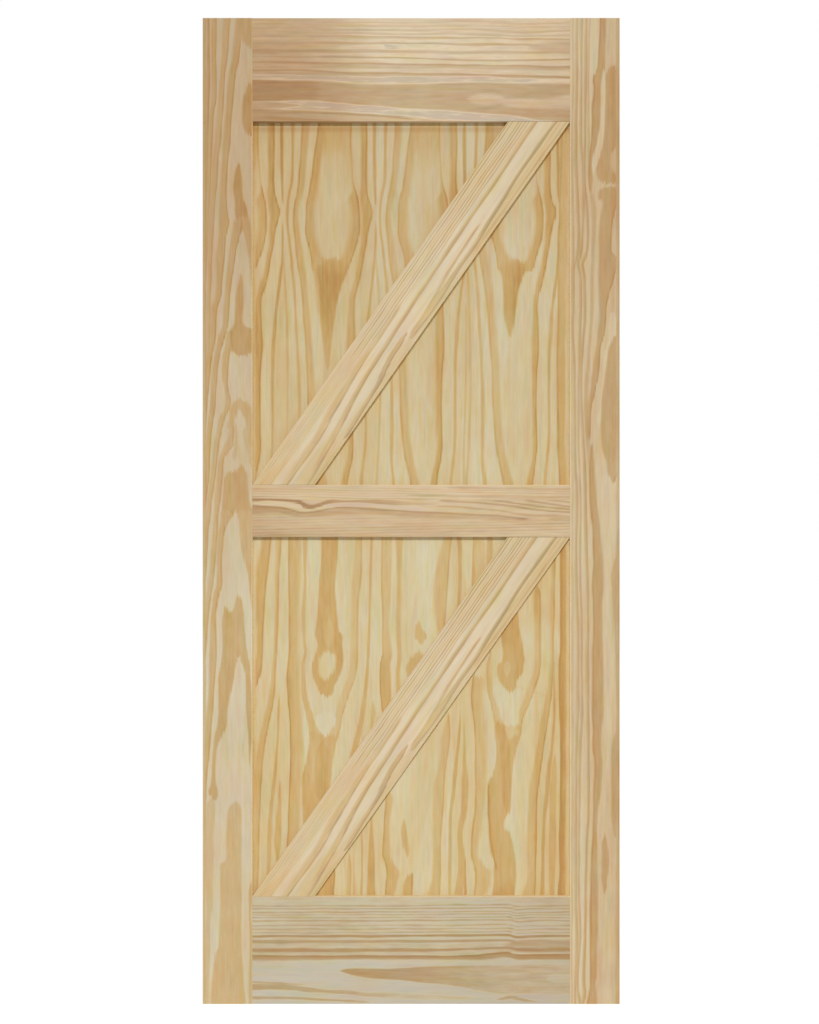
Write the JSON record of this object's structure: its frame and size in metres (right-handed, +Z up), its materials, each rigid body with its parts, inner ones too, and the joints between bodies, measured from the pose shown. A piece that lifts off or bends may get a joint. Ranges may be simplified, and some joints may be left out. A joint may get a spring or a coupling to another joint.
{
  "type": "barn door leaf",
  "caption": "Framed pine barn door leaf with recessed flat panels and diagonal braces, made to hang from a sliding track.",
  "frame": {"origin": "middle of the leaf's bottom edge, halfway through its thickness", "axes": "+X to the right across the leaf seen from the front, +Y from the front face to the back, +Z up the leaf"},
  "size_m": [0.838, 0.035, 1.981],
  "materials": {
    "pine_frame": "planed and sanded, unfinished",
    "pine_veneer": "rotary-cut veneer, sanded, unfinished",
    "pine_brace": "planed and sanded, unfinished",
    "beech_dowel": "turned and fluted"
  },
  "bodies": {
    "root": {"left_stile": "pine_frame", "right_stile": "pine_frame", "top_rail": "pine_frame", "mid_rail": "pine_frame", "bottom_rail": "pine_frame", "upper_panel": "pine_veneer", "lower_panel": "pine_veneer", "upper_brace": "pine_brace", "lower_brace": "pine_brace", "top_left_dowels": "beech_dowel", "top_right_dowels": "beech_dowel", "mid_left_dowels": "beech_dowel", "mid_right_dowels": "beech_dowel", "bottom_left_dowels": "beech_dowel", "bottom_right_dowels": "beech_dowel"}
  },
  "joints": []
}
